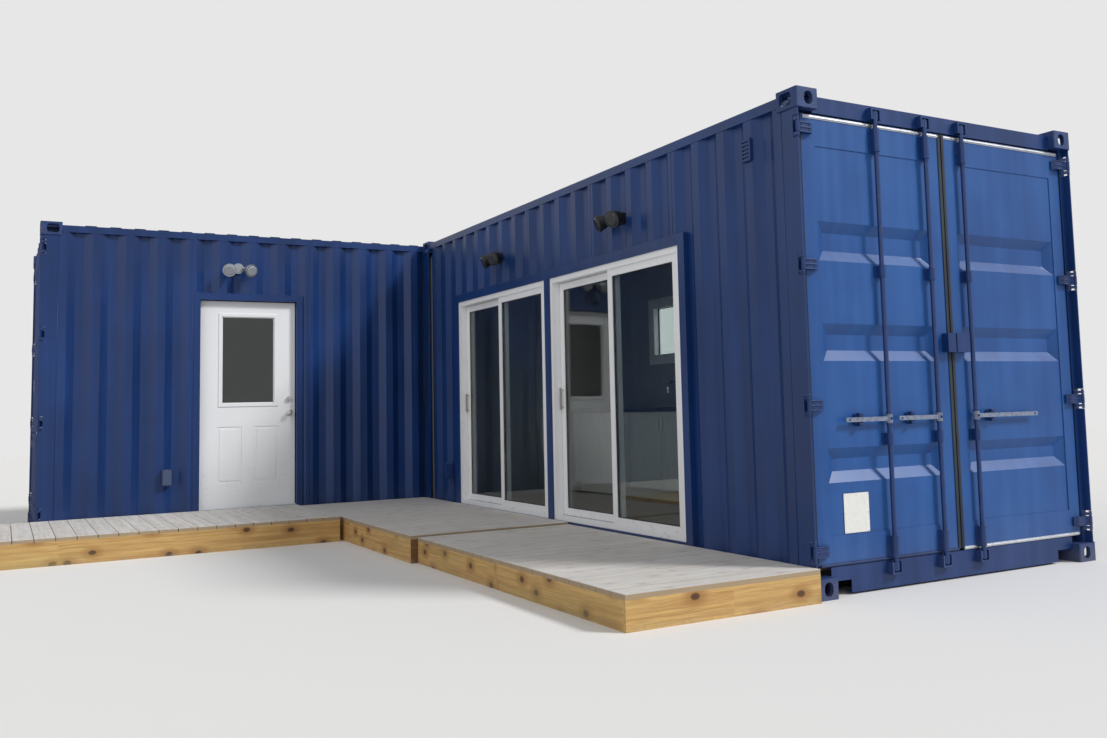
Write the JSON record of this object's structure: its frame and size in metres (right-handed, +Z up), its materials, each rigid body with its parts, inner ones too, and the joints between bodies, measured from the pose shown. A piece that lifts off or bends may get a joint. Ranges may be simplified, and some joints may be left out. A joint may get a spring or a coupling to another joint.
{
  "type": "container cabin",
  "caption": "Two steel shipping containers set in an L, with sliding glass doors, an entry door, cargo doors and a low board deck along the inner sides.",
  "frame": {"origin": "ground under the middle of the wing cabin footprint", "axes": "+X along the wing cabin towards its closed end, +Y to the back, +Z up; the main cabin runs towards -Y"},
  "size_m": [6.814, 8.531, 2.896],
  "materials": {
    "shell_paint": "satin",
    "casting_paint": "satin",
    "roof_paint": "satin",
    "base_paint": "matt",
    "frame_steel": "satin",
    "white_vinyl": "gloss",
    "white_paint": "satin",
    "clear_glass": "clear",
    "seal_rubber": "matt",
    "door_metal": "satin",
    "knob_metal": "satin",
    "lining_board": "matt",
    "floor_board": "satin",
    "deck_wood": "matt",
    "joist_wood": "matt",
    "cabinet_wood": "satin",
    "worktop_board": "satin",
    "chrome_tap": "polished",
    "lamp_metal": "satin",
    "box_plastic": "matt"
  },
  "bodies": {
    "cabin": {"cam_keepers": "door_metal", "ceilings": "lining_board", "corner_castings": "casting_paint", "corner_posts": "shell_paint", "counter_cabinet": "cabinet_wood", "counter_tap": "chrome_tap", "counter_worktop": "worktop_board", "cross_members": "base_paint", "deck_boards": "deck_wood", "deck_fascia_fronts": "deck_wood", "deck_fascia_sides": "deck_wood", "deck_joists": "joist_wood", "door_headers": "shell_paint", "door_sills": "shell_paint", "end_walls": "shell_paint", "entry_frame": "frame_steel", "flood_lights": "lamp_metal", "floors": "floor_board", "frame_rails": "shell_paint", "hinge_lugs": "door_metal", "main_lining": "lining_board", "main_wall_back": "shell_paint", "main_wall_front": "shell_paint", "opening_frame": "frame_steel", "outlet_boxes": "box_plastic", "patio_fixed_glass": "clear_glass", "patio_fixed_panels": "white_vinyl", "patio_frames": "white_vinyl", "roofs": "roof_paint", "side_vent": "shell_paint", "walls_over_openings": "shell_paint", "window_frame": "white_vinyl", "window_glass": "clear_glass", "wing_cargo_leaves": "door_metal", "wing_cargo_seals": "seal_rubber", "wing_leaf_fittings": "door_metal", "wing_lining": "lining_board", "wing_wall_back": "shell_paint", "wing_wall_front": "shell_paint"},
    "cargo_door_left": {"cargo_leaf_left": "door_metal", "cargo_seal_left": "seal_rubber", "leaf_fittings_left": "door_metal"},
    "cargo_door_right": {"cargo_leaf_right": "door_metal", "cargo_seal_right": "seal_rubber", "leaf_fittings_right": "door_metal"},
    "lock_rod_one": {"lock_rod_1": "door_metal"},
    "lock_rod_two": {"lock_rod_2": "door_metal"},
    "lock_rod_three": {"lock_rod_3": "door_metal"},
    "patio_door_near": {"patio_leaf_near": "white_vinyl", "patio_glass_near": "clear_glass", "patio_fittings_near": "knob_metal"},
    "patio_door_far": {"patio_leaf_far": "white_vinyl", "patio_glass_far": "clear_glass", "patio_fittings_far": "knob_metal"},
    "entry_door": {"entry_leaf": "white_paint", "entry_glass": "clear_glass", "entry_hardware": "knob_metal"}
  },
  "joints": [
    {"name": "cargo_left_hinge", "type": "hinge", "parent": "cabin", "child": "cargo_door_left", "pos_m": [0.604, -7.2632, 1.47], "axis": [0, 0, 1], "range_deg": [-105, 0]},
    {"name": "cargo_right_hinge", "type": "hinge", "parent": "cabin", "child": "cargo_door_right", "pos_m": [3.016, -7.2632, 1.47], "axis": [0, 0, -1], "range_deg": [-265, 0]},
    {"name": "lock_rod_1_turn", "type": "hinge", "parent": "cargo_door_left", "child": "lock_rod_one", "pos_m": [1.226, -7.2492, 1.47], "axis": [0, 0, 1], "range_deg": [0, 90]},
    {"name": "lock_rod_2_turn", "type": "hinge", "parent": "cargo_door_left", "child": "lock_rod_two", "pos_m": [1.645, -7.2492, 1.47], "axis": [0, 0, 1], "range_deg": [0, 90]},
    {"name": "lock_rod_3_turn", "type": "hinge", "parent": "cargo_door_right", "child": "lock_rod_three", "pos_m": [1.975, -7.2492, 1.47], "axis": [0, 0, -1], "range_deg": [0, 90]},
    {"name": "patio_near_slide", "type": "slide", "parent": "cabin", "child": "patio_door_near", "axis": [0, -1, 0], "range_m": [0, 0.766]},
    {"name": "patio_far_slide", "type": "slide", "parent": "cabin", "child": "patio_door_far", "axis": [0, -1, 0], "range_m": [0, 0.766]},
    {"name": "entry_hinge", "type": "hinge", "parent": "cabin", "child": "entry_door", "pos_m": [-1.6555, -1.1065, 1.2], "axis": [0, 0, 1], "range_deg": [0, 100]}
  ]
}
